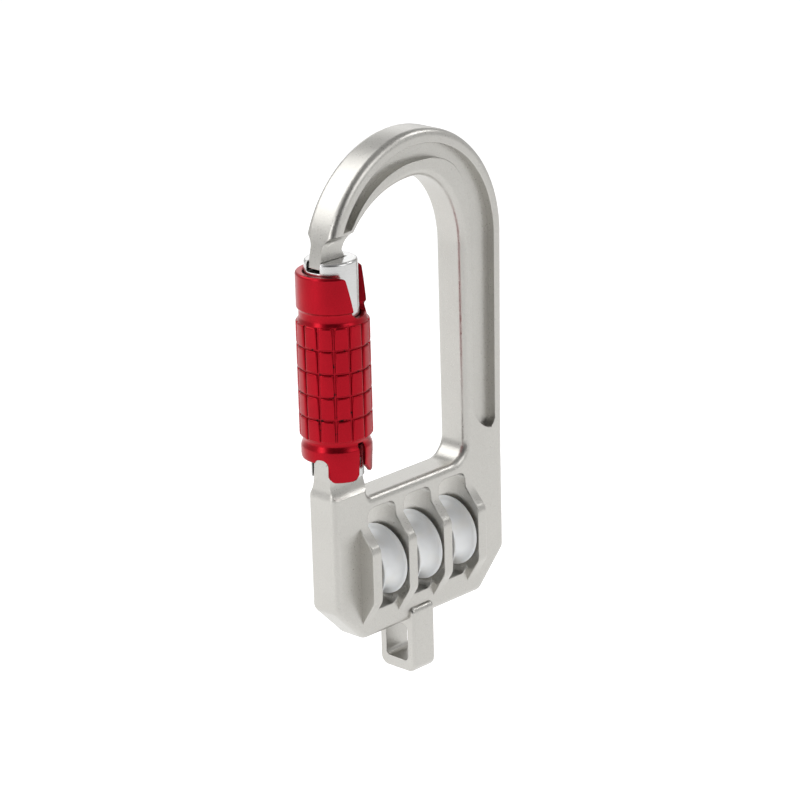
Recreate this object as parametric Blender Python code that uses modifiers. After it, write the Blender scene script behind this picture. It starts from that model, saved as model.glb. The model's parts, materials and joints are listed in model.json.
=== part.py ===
"""Rope pulley with a locking gate: a one-piece body with three sheaves on one axle, a becket eye
below, and a bow closed by a hinged gate with a knurled lock sleeve.

Metres, +Z up, +X from the gate towards the spine, -Y is the front. The origin is on the inner side
of the bow's crown, above the becket, where the pulley hangs.
"""
import bpy
import bmesh
from math import acos, asin, atan2, cos, degrees, pi, radians, sin, sqrt, tan
from mathutils import Matrix, Vector

mm = 0.001

# Fits
fit_gap = 0.3 * mm            # between pieces that touch
pin_gap = 0.25 * mm           # radial, between a pin and its bore

# Body
plate_thickness = 9.0 * mm
edge_round = 1.6 * mm
axle_drop = 91.2 * mm         # from the bow's inner crown to the axle
left_margin = 8.1 * mm        # from the outer rib to the gate-side face
right_margin = 11.1 * mm      # from the outer rib to the spine-side face
block_roof = 2.78 * mm        # from the rope slots to the floor of the bow opening
block_sole = 6.58 * mm        # from the rope slots to the underside
corner_cut = 9.0 * mm
edge_step = 0.45 * mm
spine_width = 13.2 * mm

# Ribs and rope slots
sheave_count = 3
rib_pitch = 12.14 * mm
rib_width = 2.75 * mm
rib_trim = 0.04 * mm          # drawn wider by this on each side, and trimmed by the slots
rib_over_sheave = 0.03 * mm   # how far the ribs' faces stand past the sheaves
rib_face_up, rib_face_down = 6.7 * mm, 6.2 * mm
rib_foot_up, rib_foot_down = 11.7 * mm, 12.6 * mm
rope_space = 7.0 * mm         # over the sheave, inside the slot
sheave_under_gap = 1.3 * mm
slot_corner = 2.2 * mm

# Bow
bow_section = 10.9 * mm       # at the crown
bow_lean = 1.0 * mm           # the spine's outer side leans out by this much
bow_outer_height = 29.6 * mm
bow_outer_right = 28.6 * mm
bow_inner_height = 20.0 * mm
bow_inner_right = 15.5 * mm
throat_offset = 0.11 * mm     # from the gate's axis to the inner oval's left end

# Groove in both faces of the bow and the spine
groove_depth = 2.0 * mm
outer_rail, inner_rail = 3.1 * mm, 2.9 * mm
groove_crown_rail = 3.7 * mm
groove_overshoot = 0.9 * mm   # past the inner oval's left end
groove_square = 3.0           # the groove's inner line is squarer than an ellipse on the spine side
groove_end_rise = 13.8 * mm   # above the floor of the bow opening, on the inner rail
groove_tip_rise = 5.8 * mm    # above the floor, on the outer rail

# Becket
becket_width, becket_depth = 7.6 * mm, 11.2 * mm
eye_roof = 1.3 * mm           # from the body's underside to the eye
becket_lap = 3.4 * mm         # how far it climbs the plate
becket_round = 2.4 * mm
becket_edge = 0.8 * mm
eye_width, eye_height, eye_corner = 7.0 * mm, 9.3 * mm, 1.5 * mm
eye_wall = 2.8 * mm

# Gate
gate_inset = 5.96 * mm        # from the gate-side face to the gate's axis
gate_radius = 6.16 * mm
gate_lap = 1.75 * mm          # how far the gate reaches past the nose's end
gate_neck_step = 1.56 * mm    # radial, from the gate's barrel to its neck
gate_swing = 24.0             # degrees
hinge_rise = 8.5 * mm         # above the land
hinge_pin_radius = 1.5 * mm
hinge_cheek = 3.9 * mm        # the fork's end below the pin
tang_thickness = 5.2 * mm
tang_width = 10.92 * mm
cam_radius, cam_rise = 5.0 * mm, 1.1 * mm     # radius under the plunger, and its growth per radian
land_rise = 2.1 * mm          # above the floor of the opening, the shelf under the tang's scoops
scoop_drop = 0.15 * mm        # how far the scoops run below the land
scoop_radius = 5.2 * mm
nose_thickness = 3.6 * mm
nose_depth = 16.05 * mm       # from the bow's inner crown to the nose's end
nose_width = 8.0 * mm
nose_inset = 5.265 * mm       # from the gate's axis to the nose's outer side
nose_scoop = 3.0 * mm
nose_shelf_drop = 8.5 * mm    # from the bow's inner crown to where the nose starts to thin
nose_slot_floor = 0.6 * mm    # below the nose's end

# Lock sleeve
sleeve_ledge = 0.74 * mm      # radial, from the bore on the gate to the bore below it
sleeve_wall = 1.05 * mm
sleeve_pad = 0.25 * mm        # how far the knurled pads stand proud
sleeve_nose_gap = 1.05 * mm   # from the nose's end to the sleeve's rim
sleeve_notch_depth = 10.4 * mm
sleeve_grid_top = 11.4 * mm   # below the rim
sleeve_rows = 5
sleeve_groove = 0.45 * mm
sleeve_collar = 5.2 * mm
sleeve_tongue = 4.6 * mm
tongue_clearance = 2.75 * mm  # from the pulled sleeve's tongues to the land
tongue_angles = ((209, 264), (277, 325))    # degrees about the sleeve's axis, 270 is the front
notch_facing = 297
notch_top_half, notch_bottom_half = 6.9 * mm, 4.6 * mm
sleeve_travel = 2.0 * mm
ring_height = 3.0 * mm
clip_wire = 0.8 * mm
key_radius = 0.6 * mm
key_reach = 0.9 * mm          # short of the guide ring's outer side

# Springs
sleeve_spring_gap, sleeve_spring_wire, sleeve_spring_turns = 0.4 * mm, 0.45 * mm, 7
gate_spring_radius, gate_spring_wire, gate_spring_turns = 1.55 * mm, 0.3 * mm, 7
gate_bore = 2.3 * mm
gate_bore_height = 20.0 * mm  # above the hinge
plunger_radius, plunger_tip, plunger_length = 2.0 * mm, 0.9 * mm, 5.5 * mm

# Sheaves
sheave_radius = 8.62 * mm
sheave_groove = 2.5 * mm
sheave_rim = 0.7 * mm
side_gap = 0.25 * mm
washer_thickness = 0.3 * mm
washer_radius = 5.6 * mm
axle_radius = 3.0 * mm
bush_wall = 1.0 * mm
axle_seat = 5.3 * mm          # into the gate-side wall, beyond the outer rib
plug_step, plug_length, plug_sink = 0.6 * mm, 6.4 * mm, 0.3 * mm
plug_hex, plug_hex_depth = 4.0 * mm, 3.0 * mm

# Places that follow
axle_z = -axle_drop
half_plate = plate_thickness / 2
outer_rib_x = (sheave_count / 2) * rib_pitch + rib_width / 2
left_x = -outer_rib_x - left_margin
right_x = outer_rib_x + right_margin
slot_half = (rib_pitch - rib_width) / 2
slot_top = axle_z + sheave_radius + rope_space
slot_bottom = axle_z - sheave_radius - sheave_under_gap
floor_z = slot_top + block_roof
bottom_z = slot_bottom - block_sole
rib_front = sheave_radius + rib_over_sheave
becket_bottom = bottom_z - eye_roof - eye_height - eye_wall
becket_top = bottom_z + becket_lap
gate_x = left_x + gate_inset
land_z = floor_z + land_rise
hinge_z = land_z + hinge_rise
tang_half = tang_width / 2
spine_x = right_x - spine_width
inner_centre = Vector((spine_x - bow_inner_right, -bow_inner_height))
outer_centre = Vector((right_x + bow_lean - bow_outer_right, bow_section - bow_outer_height))
nose_left = gate_x - nose_inset
nose_right = nose_left + nose_width
nose_end_angle = 180 - degrees(asin((-nose_depth - outer_centre[1]) / bow_outer_height))
bow_outer_left = (nose_left - outer_centre[0]) / cos(radians(nose_end_angle))
bow_inner_left = inner_centre[0] - gate_x - throat_offset
groove_left = bow_inner_left + groove_overshoot
gate_top = gate_lap - nose_depth
neck_radius = gate_radius - gate_neck_step
fork_top = hinge_z + hinge_cheek
cam_top = hinge_z + cam_radius + cam_rise * radians(gate_swing + 12)
plunger_low = hinge_z + cam_radius + fit_gap
gate_bore_top = hinge_z + gate_bore_height
sleeve_rim = -nose_depth - sleeve_nose_gap
grid_top = sleeve_rim - sleeve_grid_top
tongue_bottom = land_z + tongue_clearance + sleeve_travel
collar_bottom = tongue_bottom + sleeve_tongue
grid_bottom = collar_bottom + sleeve_collar
sleeve_row = (grid_top - grid_bottom) / sleeve_rows
upper_bore = gate_radius + fit_gap
sleeve_bore = upper_bore + sleeve_ledge
sleeve_plain_radius = sleeve_bore + sleeve_wall
sleeve_radius = sleeve_plain_radius + sleeve_pad
neck_top = grid_top - 0.6 * mm
ring_top = neck_top - fit_gap
ring_bottom = ring_top - ring_height
ring_outer = sleeve_bore - fit_gap
clip_top = ring_bottom - fit_gap
clip_bottom = clip_top - clip_wire
key_z = ring_top - sleeve_travel
key_end = ring_outer - key_reach
sleeve_spring_radius = neck_radius + sleeve_spring_gap + sleeve_spring_wire
sheave_half = slot_half - washer_thickness - 2 * side_gap
bush_radius = axle_radius + pin_gap + bush_wall
plug_radius = axle_radius + plug_step
plug_high = right_x - plug_sink
plug_low = plug_high - plug_length
axle_low = -outer_rib_x - axle_seat + fit_gap
axle_high = plug_low - fit_gap

COLOURS = {
    "body_alloy": ((0.60, 0.58, 0.54), 0.35, 1.0),
    "gate_alloy": ((0.68, 0.67, 0.65), 0.28, 1.0),
    "red_anodised": ((0.52, 0.01, 0.03), 0.32, 0.9),
    "white_acetal": ((0.85, 0.84, 0.80), 0.40, 0.0),
    "steel": ((0.50, 0.50, 0.50), 0.30, 1.0),
    "spring_steel": ((0.35, 0.35, 0.36), 0.35, 1.0),
    "bronze": ((0.55, 0.38, 0.18), 0.40, 1.0),
}


def clear_scene():
    for thing in list(bpy.data.objects):
        bpy.data.objects.remove(thing, do_unlink=True)
    parts = bpy.data.collections.new("rope_pulley")
    cutters = bpy.data.collections.new("cutters")
    for collection in (parts, cutters):
        bpy.context.scene.collection.children.link(collection)
    return parts, cutters


PARTS, CUTTERS = clear_scene()


# Outlines

def arc(centre, radius, start, end, steps):
    """Points on an arc, from one angle to another, in degrees."""
    points = []
    for i in range(steps + 1):
        angle = radians(start + (end - start) * i / steps)
        points.append((centre[0] + radius * cos(angle), centre[1] + radius * sin(angle)))
    return points


def oval(centre, right, left, height, start, end, steps, power=2.0):
    """Points on an upper half oval with its own reach on each side; 0 degrees is on the right."""
    points = []
    for i in range(steps + 1):
        angle = radians(start + (end - start) * i / steps)
        reach = right if cos(angle) > 0 else left
        across = abs(cos(angle)) ** (2 / power) * (1 if cos(angle) > 0 else -1)
        points.append((centre[0] + reach * across, centre[1] + height * abs(sin(angle)) ** (2 / power)))
    return points


def rounded(corners, steps=4):
    """A line through corners (x, z, radius), each corner with a radius turned into an arc.

    The line is taken as closed, so the two ends of an open stretch have no radius.
    """
    points = []
    for i, (x, z, radius) in enumerate(corners):
        here = Vector((x, z))
        if radius <= 0:
            points.append((x, z))
            continue
        before = (Vector(corners[i - 1][:2]) - here).normalized()
        after = (Vector(corners[(i + 1) % len(corners)][:2]) - here).normalized()
        half_angle = acos(max(-1, min(1, before.dot(after)))) / 2
        reach = radius / tan(half_angle)
        centre = here + (before + after).normalized() * (radius / sin(half_angle))
        first = here + before * reach - centre
        last = here + after * reach - centre
        turn = atan2(first.cross(last), first.dot(last))
        for step in range(steps + 1):
            points.append(tuple(centre + Matrix.Rotation(turn * step / steps, 2) @ first))
    return points


def rectangle(low, high, radius):
    """Corners of an upright rectangle, for rounded()."""
    return [(low[0], low[1], radius), (high[0], low[1], radius),
            (high[0], high[1], radius), (low[0], high[1], radius)]


# Solids

FACING = {
    "X": Matrix(((0, 0, 1, 0), (1, 0, 0, 0), (0, 1, 0, 0), (0, 0, 0, 1))),
    "Y": Matrix(((1, 0, 0, 0), (0, 0, -1, 0), (0, 1, 0, 0), (0, 0, 0, 1))),
    "Z": Matrix.Identity(4),
}


def mesh_object(name, mesh, collection):
    thing = bpy.data.objects.new(name, mesh)
    collection.objects.link(thing)
    if collection is CUTTERS:
        thing.hide_render = True
        thing.display_type = 'WIRE'
    return thing


def as_mesh(thing, collection):
    """Replace a curve, or an object with modifiers, by the plain welded mesh it makes."""
    bpy.context.view_layer.update()
    evaluated = thing.evaluated_get(bpy.context.evaluated_depsgraph_get())
    mesh = bpy.data.meshes.new_from_object(evaluated)
    name, place = thing.name, thing.matrix_world.copy()
    bpy.data.objects.remove(thing, do_unlink=True)
    work = bmesh.new()
    work.from_mesh(mesh)
    bmesh.ops.remove_doubles(work, verts=work.verts, dist=1e-6)
    work.to_mesh(mesh)
    work.free()
    made = mesh_object(name, mesh, collection)
    made.matrix_world = place
    return made


def prism(name, outline, low, high, facing, collection=CUTTERS):
    """A flat outline filled and drawn out along one axis, between low and high."""
    curve = bpy.data.curves.new(name, 'CURVE')
    curve.dimensions = '2D'
    curve.fill_mode = 'BOTH'
    curve.extrude = (high - low) / 2
    spline = curve.splines.new('POLY')
    spline.points.add(len(outline) - 1)
    for point, (u, v) in zip(spline.points, outline):
        point.co = (u, v, 0, 1)
    spline.use_cyclic_u = True
    made = as_mesh(mesh_object(name, curve, collection), collection)
    sign = -1 if facing == "Y" else 1
    made.data.transform(FACING[facing] @ Matrix.Translation((0, 0, sign * (low + high) / 2)))
    return made


def turned(name, profile, steps, closed=False, collection=PARTS):
    """A profile (radius, z), run down its outer side, turned about Z by a Screw modifier."""
    mesh = bpy.data.meshes.new(name)
    edges = [(i, i + 1) for i in range(len(profile) - 1)]
    if closed:
        edges.append((len(profile) - 1, 0))
    mesh.from_pydata([(radius, 0, z) for radius, z in profile], edges, [])
    made = mesh_object(name, mesh, collection)
    screw = made.modifiers.new("turn", 'SCREW')
    screw.steps = screw.render_steps = steps
    screw.use_merge_vertices = True
    screw.merge_threshold = 0.00001
    return made


def stepped_rod(name, profile, facing, steps=32, collection=CUTTERS):
    """A turned cutter along one axis, from a profile (radius, place) run from high to low."""
    made = as_mesh(turned(name, profile, steps, False, collection), collection)
    made.data.transform(FACING[facing] if facing != "Y" else Matrix.Rotation(-pi / 2, 4, 'X'))
    return made


def rod(name, radius, low, high, facing, steps=32):
    """A plain cylinder along one axis, between low and high."""
    return stepped_rod(name, [(0, high), (radius, high), (radius, low), (0, low)], facing, steps)


def box(name, low, high, collection=CUTTERS):
    mesh = bpy.data.meshes.new(name)
    work = bmesh.new()
    bmesh.ops.create_cube(work, size=1.0)
    size = [high[i] - low[i] for i in range(3)]
    centre = [(high[i] + low[i]) / 2 for i in range(3)]
    bmesh.ops.scale(work, vec=size, verts=work.verts)
    bmesh.ops.translate(work, vec=centre, verts=work.verts)
    work.to_mesh(mesh)
    work.free()
    return mesh_object(name, mesh, collection)


def combine(target, tool, operation):
    boolean = target.modifiers.new(operation.lower() + "_" + tool.name, 'BOOLEAN')
    boolean.operation = operation
    boolean.solver = 'EXACT'
    boolean.object = tool


def cut(target, *tools):
    for tool in tools:
        combine(target, tool, 'DIFFERENCE')


def join(target, *tools):
    for tool in tools:
        combine(target, tool, 'UNION')


def round_rims(thing, width, segments, facing, wanted=None):
    """Round the rims of a plain prism where wanted(point) holds for both ends of an edge."""
    along = "XYZ".index(facing)
    work = bmesh.new()
    work.from_mesh(thing.data)
    for side in (-1, 1):
        cap = [face for face in work.faces if face.normal[along] * side > 0.9]
        bmesh.ops.dissolve_faces(work, faces=cap)
    rims = [edge for edge in work.edges if any(abs(face.normal[along]) > 0.9 for face in edge.link_faces)
            and (wanted is None or all(wanted(vert.co) for vert in edge.verts))]
    bmesh.ops.bevel(work, geom=rims, offset=width, offset_type='OFFSET', segments=segments, profile=0.5,
                    affect='EDGES', clamp_overlap=False, material=-1)
    bmesh.ops.triangulate(work, faces=[face for face in work.faces if len(face.verts) > 4])
    work.to_mesh(thing.data)
    work.free()


def finish(thing, colour, parent=None):
    """Give a part its own material, and its parent without moving it."""
    material = bpy.data.materials.get(colour) or bpy.data.materials.new(colour)
    material.use_nodes = True
    base, roughness, metallic = COLOURS[colour]
    shader = material.node_tree.nodes["Principled BSDF"]
    shader.inputs["Base Color"].default_value = (*base, 1)
    shader.inputs["Roughness"].default_value = roughness
    shader.inputs["Metallic"].default_value = metallic
    own = material.copy()
    own.name = thing.name + "_finish"
    thing.data.materials.clear()
    thing.data.materials.append(own)
    if parent is not None:
        bpy.context.view_layer.update()
        thing.parent = parent
        thing.matrix_parent_inverse = parent.matrix_world.inverted()


def hub(name, place):
    """An empty on a joint's axis, which carries what moves about it."""
    empty = bpy.data.objects.new(name, None)
    PARTS.objects.link(empty)
    empty.location = place
    return empty


# Body

def inner_line(end):
    """The bow's inner side, from the spine over the crown to the given angle."""
    return oval(inner_centre, bow_inner_right, bow_inner_left, bow_inner_height, 0, end, 30)


def outer_line(end):
    return oval(outer_centre, bow_outer_right, bow_outer_left, bow_outer_height, 0, end, 36)


def tang_top():
    """The tang's rounded head about the hinge: a cam that pushes the plunger as the gate opens."""
    points = []
    for angle in range(80, -91, -10):
        turned_by = max(0, min(radians(angle), radians(gate_swing + 12)))
        radius = cam_radius + cam_rise * turned_by
        points.append((gate_x + radius * sin(radians(angle)), hinge_z + radius * cos(radians(angle))))
    return [point for point in points if abs(point[0] - gate_x) < tang_half]


def body_outline():
    """The whole body seen from the front, with the tang and the nose still at full thickness."""
    throat_end = 158
    throat = inner_line(throat_end)[-1]
    foot = rounded([
        (left_x, land_z - edge_step, 0), (left_x, bottom_z + corner_cut, 2 * mm),
        (left_x + corner_cut, bottom_z, 2 * mm), (right_x - corner_cut, bottom_z, 2 * mm),
        (right_x, bottom_z + corner_cut, 2 * mm), (right_x, floor_z, 0)])
    nose = rounded([(nose_right, -nose_depth, 0), (nose_right, throat[1] - 2 * mm, 1.2 * mm), (*throat, 0)])
    opening = rounded([(spine_x, -bow_inner_height, 0), (spine_x, floor_z, 5 * mm),
                       (gate_x + tang_half, floor_z, 1.5 * mm), (gate_x + tang_half, hinge_z, 0)], 5)
    shelf = [(gate_x - tang_half, land_z), (left_x + edge_step, land_z)]
    bow = outer_line(nose_end_angle) + nose + inner_line(throat_end)[::-1][1:-1]
    return foot + bow + opening + tang_top() + shelf


def away_from_gate(point):
    """False on the tang, the land and the nose, which are thinned from both faces."""
    beside_tang = point.x < gate_x + tang_half + 0.1 * mm and point.z > land_z - edge_step - 0.1 * mm
    return not (beside_tang and point.z < -nose_shelf_drop - nose_scoop)


def groove_outline():
    """The groove's floor: between the two rails from the nose round the bow and down the spine."""
    outer = oval(outer_centre, bow_outer_right - outer_rail, bow_outer_left - outer_rail,
                 bow_outer_height - outer_rail - 0.3 * mm, 0, 156, 32)
    inner_right = oval(inner_centre, bow_inner_right + inner_rail, groove_left,
                       bow_inner_height + groove_crown_rail, 0, 90, 16, groove_square)
    inner_left = oval(inner_centre, bow_inner_right + inner_rail, groove_left,
                      bow_inner_height + groove_crown_rail, 90, 149, 12)
    inside = spine_x + inner_rail
    outside = right_x - outer_rail + 0.3 * mm
    end_top, tip = floor_z + groove_end_rise, floor_z + groove_tip_rise
    end = oval((outside, end_top), outside - inside, outside - inside, tip - end_top, 100, 180, 6)
    return [(outside, tip + 2 * mm)] + outer + (inner_right + inner_left[1:])[::-1] + end[::-1]


def side_scoop(name, wall, radius, start, end, span, side):
    """A cutter that thins the plate to a wall from one face, and ends in a hollow round."""
    up = 1 if start > end else -1
    centre = (wall + radius, end + up * sqrt(radius ** 2 - (wall + radius - half_plate) ** 2))
    quarter = arc(centre, radius, 180, 180 + up * 90, 8)
    outline = quarter + [(rib_front, quarter[-1][1]), (rib_front, start), (wall, start)]
    outline = [(side * y, z) for y, z in outline]
    return prism(name, outline, span[0], span[1], "X")


def rib_outline():
    """One rib's section, front and back at once, with its two sloping ends."""
    half = rounded([
        (half_plate - 1 * mm, axle_z - rib_foot_down - 1 * mm, 0), (half_plate, axle_z - rib_foot_down, 0),
        (rib_front, axle_z - rib_face_down, 3 * mm), (rib_front, axle_z + rib_face_up, 3 * mm),
        (half_plate, axle_z + rib_foot_up, 0), (half_plate - 1 * mm, axle_z + rib_foot_up + 1 * mm, 0)])
    return half + [(-y, z) for y, z in reversed(half)]


def add_ribs(body):
    for i in range(sheave_count + 1):
        x = (i - sheave_count / 2) * rib_pitch
        half = rib_width / 2 + rib_trim
        join(body, prism(f"rib_{i + 1}", rib_outline(), x - half, x + half, "X"))


def add_becket(body):
    half = becket_depth / 2
    outline = rounded([(-half, becket_bottom, becket_round), (half, becket_bottom, becket_round),
                       (half, becket_top, 1.5 * mm), (-half, becket_top, 1.5 * mm)])
    block = prism("becket_block", outline, -becket_width / 2, becket_width / 2, "X")
    round_rims(block, becket_edge, 2, "X")
    join(body, block)
    low = becket_bottom + eye_wall
    eye = rounded(rectangle((-eye_width / 2, low), (eye_width / 2, low + eye_height), eye_corner))
    cut(body, prism("becket_eye", eye, -becket_width, becket_width, "X"))


def cut_slots(body):
    for i in range(sheave_count):
        x = (i - (sheave_count - 1) / 2) * rib_pitch
        outline = rounded(rectangle((x - slot_half, slot_bottom), (x + slot_half, slot_top), slot_corner))
        cut(body, prism(f"rope_slot_{i + 1}", outline, -rib_front - 2 * mm, rib_front + 2 * mm, "Y"))


def moved(thing, z, x=0):
    """Shift a cutter's mesh to its place."""
    thing.data.transform(Matrix.Translation((x, 0, z)))
    return thing


def make_body():
    body = prism("frame_body", body_outline(), -half_plate, half_plate, "Y", PARTS)
    round_rims(body, edge_round, 3, "Y", away_from_gate)
    add_ribs(body)
    add_becket(body)
    cut_slots(body)
    hinge_span = (left_x - 3 * mm, spine_x - 5 * mm)
    nose_span = (left_x - 3 * mm, nose_right + 3 * mm)
    for side, face in ((-1, "front"), (1, "back")):
        cut(body, side_scoop(f"hinge_scoop_{face}", tang_thickness / 2, scoop_radius,
                             hinge_z + 9 * mm, land_z - scoop_drop, hinge_span, side))
        cut(body, side_scoop(f"nose_scoop_{face}", nose_thickness / 2, nose_scoop,
                             -nose_depth - 3 * mm, -nose_shelf_drop, nose_span, side))
        near, far = side * (half_plate - groove_depth), side * (half_plate + 3 * mm)
        cut(body, prism(f"groove_{face}", groove_outline(), min(near, far), max(near, far), "Y"))
    beyond = right_x + 5 * mm
    narrow, wide, seat = axle_radius + pin_gap, plug_radius + pin_gap, plug_low - fit_gap
    far_end = -outer_rib_x - axle_seat
    axle_bore = stepped_rod("axle_bore", [(0, beyond), (wide, beyond), (wide, seat), (narrow, seat),
                                          (narrow, far_end), (0, far_end)], "X")
    hinge_bore = rod("hinge_bore", hinge_pin_radius + pin_gap, -rib_front, rib_front, "Y", 24)
    cut(body, moved(axle_bore, axle_z), moved(hinge_bore, hinge_z, gate_x))
    finish(body, "body_alloy")


# Gate

def make_gate(hinge):
    top = gate_top - hinge_z
    neck = neck_top - hinge_z
    barrel = turned("gate_barrel", [
        (0, top), (gate_radius - 0.9 * mm, top), (gate_radius - 0.3 * mm, top - 0.2 * mm),
        (gate_radius, top - 0.7 * mm), (gate_radius, neck), (neck_radius, neck),
        (neck_radius, hinge_cheek), (gate_radius, hinge_cheek), (gate_radius, -hinge_cheek),
        (0, -hinge_cheek)], 40)
    barrel.location = (gate_x, 0, hinge_z)
    reach = 2 * gate_radius
    nose_half = nose_thickness / 2 + fit_gap
    fork_half = tang_thickness / 2 + fit_gap
    bore = rod("spring_bore", gate_bore, hinge_z, gate_bore_top, "Z", 24)
    pin_bore = rod("gate_pin_bore", hinge_pin_radius + pin_gap, -reach, reach, "Y", 24)
    key_bore = rod("key_bore", key_radius + pin_gap, gate_x + neck_radius - 1.9 * mm, gate_x + reach,
                   "X", 16)
    cut(barrel,
        box("nose_slot", (gate_x - reach, -nose_half, -nose_depth - nose_slot_floor),
            (nose_right + fit_gap, nose_half, -nose_shelf_drop)),
        box("fork_slot", (gate_x - reach, -fork_half, hinge_z - reach),
            (gate_x + reach, fork_half, cam_top + fit_gap)),
        moved(bore, 0, gate_x), moved(pin_bore, hinge_z, gate_x), moved(key_bore, key_z))
    finish(barrel, "gate_alloy", hinge)


def make_hinge_pin():
    half = sqrt(gate_radius ** 2 - hinge_pin_radius ** 2) - fit_gap
    pin = turned("gate_hinge_pin", [
        (0, half), (hinge_pin_radius - 0.3 * mm, half), (hinge_pin_radius, half - 0.3 * mm),
        (hinge_pin_radius, 0.3 * mm - half), (hinge_pin_radius - 0.3 * mm, -half), (0, -half)], 24)
    pin.rotation_euler = (-pi / 2, 0, 0)
    pin.location = (gate_x, 0, hinge_z)
    finish(pin, "steel")


def make_plunger(hinge):
    length = plunger_length
    plunger = turned("gate_plunger", [
        (0, length), (plunger_radius - 0.3 * mm, length), (plunger_radius, length - 0.3 * mm),
        (plunger_radius, 1.4 * mm), (plunger_tip, 0), (0, 0)], 24)
    plunger.location = (gate_x, 0, plunger_low)
    finish(plunger, "steel", hinge)


def coil_spring(name, place, low, high, radius, wire, turns):
    """A compression spring: a helix of round wire about a vertical axis."""
    curve = bpy.data.curves.new(name, 'CURVE')
    curve.dimensions = '3D'
    curve.bevel_depth = wire
    curve.bevel_resolution = 2
    curve.use_fill_caps = True
    spline = curve.splines.new('POLY')
    count = turns * 10
    spline.points.add(count)
    for i, point in enumerate(spline.points):
        angle = 2 * pi * turns * i / count
        height = low + wire + (high - low - 2 * wire) * i / count
        point.co = (radius * cos(angle), radius * sin(angle), height - place[2], 1)
    spring = mesh_object(name, curve, PARTS)
    spring.location = place
    return spring


def make_springs(hinge):
    place = (gate_x, 0, hinge_z)
    inner = coil_spring("gate_spring", place, plunger_low + plunger_length + fit_gap,
                        gate_bore_top - fit_gap, gate_spring_radius, gate_spring_wire, gate_spring_turns)
    outer = coil_spring("sleeve_spring", place, fork_top + fit_gap, ring_bottom - fit_gap,
                        sleeve_spring_radius, sleeve_spring_wire, sleeve_spring_turns)
    for spring in (inner, outer):
        finish(spring, "spring_steel", hinge)


def make_guide_ring(hinge):
    inner = neck_radius + fit_gap
    ring = turned("sleeve_guide_ring", [
        (inner, ring_height), (ring_outer, ring_height), (ring_outer, 0), (inner, 0)], 40, True)
    ring.location = (gate_x, 0, ring_bottom)
    half = key_radius + pin_gap
    cut(ring, box("key_way", (gate_x + inner / 2, -half, ring_bottom - 1 * mm),
                  (gate_x + key_end + fit_gap, half, ring_top + 1 * mm)))
    finish(ring, "bronze", hinge)


def make_guide_key(hinge):
    low = neck_radius - 1.6 * mm
    key = turned("guide_key", [(0, key_end), (key_radius, key_end), (key_radius, low), (0, low)], 16)
    key.rotation_euler = (0, pi / 2, 0)
    key.location = (gate_x, 0, key_z)
    finish(key, "steel", hinge)


def make_clip(hinge):
    outer, inner = sleeve_bore + 0.25 * mm, sleeve_spring_radius + 2 * sleeve_spring_wire
    clip = turned("sleeve_retaining_ring", [
        (inner, clip_wire), (outer, clip_wire), (outer, 0), (inner, 0)], 40, True)
    clip.location = (gate_x, 0, clip_bottom)
    cut(clip, box("clip_mouth", (gate_x, -1.5 * mm, clip_bottom - 1 * mm),
                  (gate_x + 2 * outer, 1.5 * mm, clip_top + 1 * mm)))
    finish(clip, "spring_steel", hinge)


# Lock sleeve

def sleeve_profile():
    """Down the outside over the rim, the knurled rows and the collar, and up the stepped bore."""
    plain, full = sleeve_plain_radius, sleeve_radius
    cut_radius = full - sleeve_groove
    half = sleeve_groove
    upper = upper_bore
    outside = [(plain - 0.5 * mm, sleeve_rim), (plain, sleeve_rim - 0.5 * mm), (plain, grid_top + 0.6 * mm),
               (cut_radius, grid_top + half)]
    for i in range(sleeve_rows):
        row_top = grid_top - i * sleeve_row
        row_bottom = row_top - sleeve_row
        outside += [(cut_radius, row_top), (full, row_top - half), (full, row_bottom + half)]
    outside += [(cut_radius, grid_bottom), (cut_radius, grid_bottom - half), (plain, grid_bottom - 2 * half),
                (plain, tongue_bottom)]
    clip_radius = sleeve_bore + 0.5 * mm
    inside = [(sleeve_bore, tongue_bottom), (sleeve_bore, clip_bottom - fit_gap / 2),
              (clip_radius, clip_bottom - fit_gap / 2), (clip_radius, clip_top + fit_gap / 2),
              (sleeve_bore, clip_top + fit_gap / 2), (sleeve_bore, neck_top), (upper, neck_top),
              (upper, sleeve_rim - 0.2 * mm), (upper + 0.2 * mm, sleeve_rim)]
    return outside + inside


def sector(name, start, end, low, high):
    """A pie-slice cutter about the gate's axis."""
    outline = [(gate_x, 0)] + arc((gate_x, 0), 2 * sleeve_radius, start, end, 12)
    return prism(name, outline, low, high, "Z")


def make_sleeve(hinge):
    place = Vector((gate_x, 0, hinge_z))
    sleeve = turned("lock_sleeve", [(r, z - hinge_z) for r, z in sleeve_profile()], 48, True)
    sleeve.location = place
    low = sleeve_rim - sleeve_notch_depth
    outline = rounded([(-notch_bottom_half, low, 2.5 * mm), (notch_bottom_half, low, 2.5 * mm),
                       (notch_top_half, sleeve_rim + 1 * mm, 0), (-notch_top_half, sleeve_rim + 1 * mm, 0)])
    notch = prism("sleeve_notch", outline, -2 * sleeve_radius, 0, "Y")
    notch.data.transform(Matrix.Translation((gate_x, 0, 0)) @ Matrix.Rotation(radians(notch_facing - 270), 4, 'Z'))
    (first_start, first_end), (second_start, second_end) = tongue_angles
    beneath = tongue_bottom - 1 * mm
    cut(sleeve, notch, sector("collar_gap", second_end, first_start + 360, beneath, collar_bottom),
        sector("tongue_slit", first_end, second_start, beneath, grid_bottom - 2 * sleeve_groove))
    finish(sleeve, "red_anodised", hinge)


# Sheaves and axle

def sheave_profile():
    """From one rim over the round rope groove to the other rim, and back along the bore."""
    groove_half = sheave_half - sheave_rim
    groove = []
    for i in range(11):
        angle = pi * i / 10
        groove.append((sheave_radius - sheave_groove * sin(angle), groove_half * cos(angle)))
    bore = bush_radius + fit_gap
    side = sheave_radius - 0.3 * mm
    return [(bore, sheave_half), (side, sheave_half)] + groove + [(side, -sheave_half), (bore, -sheave_half)]


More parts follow.
